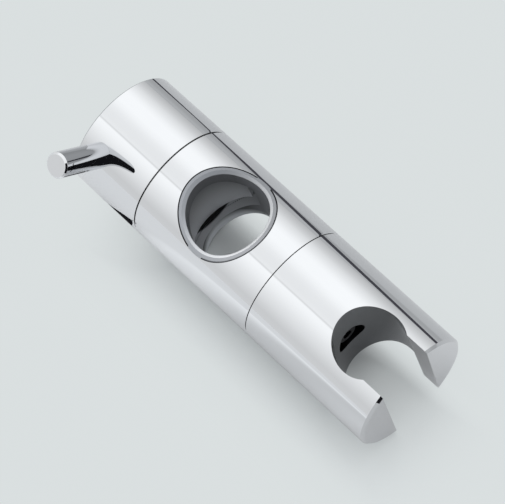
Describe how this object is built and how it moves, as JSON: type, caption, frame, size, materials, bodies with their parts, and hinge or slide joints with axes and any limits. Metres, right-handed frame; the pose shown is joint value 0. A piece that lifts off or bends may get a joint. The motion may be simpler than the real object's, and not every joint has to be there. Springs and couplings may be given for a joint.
{
  "type": "shower rail slider",
  "caption": "Chrome shower rail slider: a round body that clamps on a rail with a lever knob, and a turning holder with a tapered, slotted hand-shower socket.",
  "frame": {"origin": "centre of the rail bore, where the rail's axis crosses the long axis of the body", "axes": "+X along the body towards the holder, +Z along the rail bore; the socket's narrow mouth is at +Z and its wide mouth, where a hand shower goes in, is at -Z, as the part lies in the picture"},
  "size_m": [0.1238, 0.0481, 0.053],
  "materials": {
    "chrome": "polished",
    "liner_plastic": "satin",
    "clamp_plastic": "satin",
    "core_plastic": "matt",
    "nylon": "satin",
    "rubber": "matt",
    "brass": "turned",
    "steel": "plain"
  },
  "bodies": {
    "body": {"body_shell": "chrome", "rail_liner": "liner_plastic", "bearing_plate": "steel", "plate_screws": "steel", "thrust_washer": "nylon", "sleeve_washer": "nylon", "retaining_ring": "steel", "pivot_hub": "brass", "friction_ring": "rubber", "seam_washer": "nylon", "disc_spring": "steel", "keyed_washer": "steel", "holder_screw": "steel"},
    "clamp": {"clamp_block": "clamp_plastic", "clamp_spindle": "brass"},
    "knob": {"knob_shell": "chrome", "knob_core": "core_plastic", "spindle_nut": "brass", "nut_screws": "steel", "lever": "chrome", "lever_insert": "brass"},
    "holder": {"holder_shell": "chrome"}
  },
  "joints": [
    {"name": "knob_turn", "type": "hinge", "parent": "body", "child": "knob", "pos_m": [-0.024, 0, 0], "axis": [1, 0, 0], "range_deg": [0, 420]},
    {"name": "clamp_slide", "type": "slide", "parent": "body", "child": "clamp", "axis": [1, 0, 0], "range_m": [0, 0.0035]},
    {"name": "holder_turn", "type": "hinge", "parent": "body", "child": "holder", "pos_m": [0.024, 0, 0], "axis": [1, 0, 0], "continuous": true}
  ],
  "couplings": [
    {"joint": "clamp_slide", "follows": "knob_turn", "m_per_rad": 0.00047746}
  ]
}
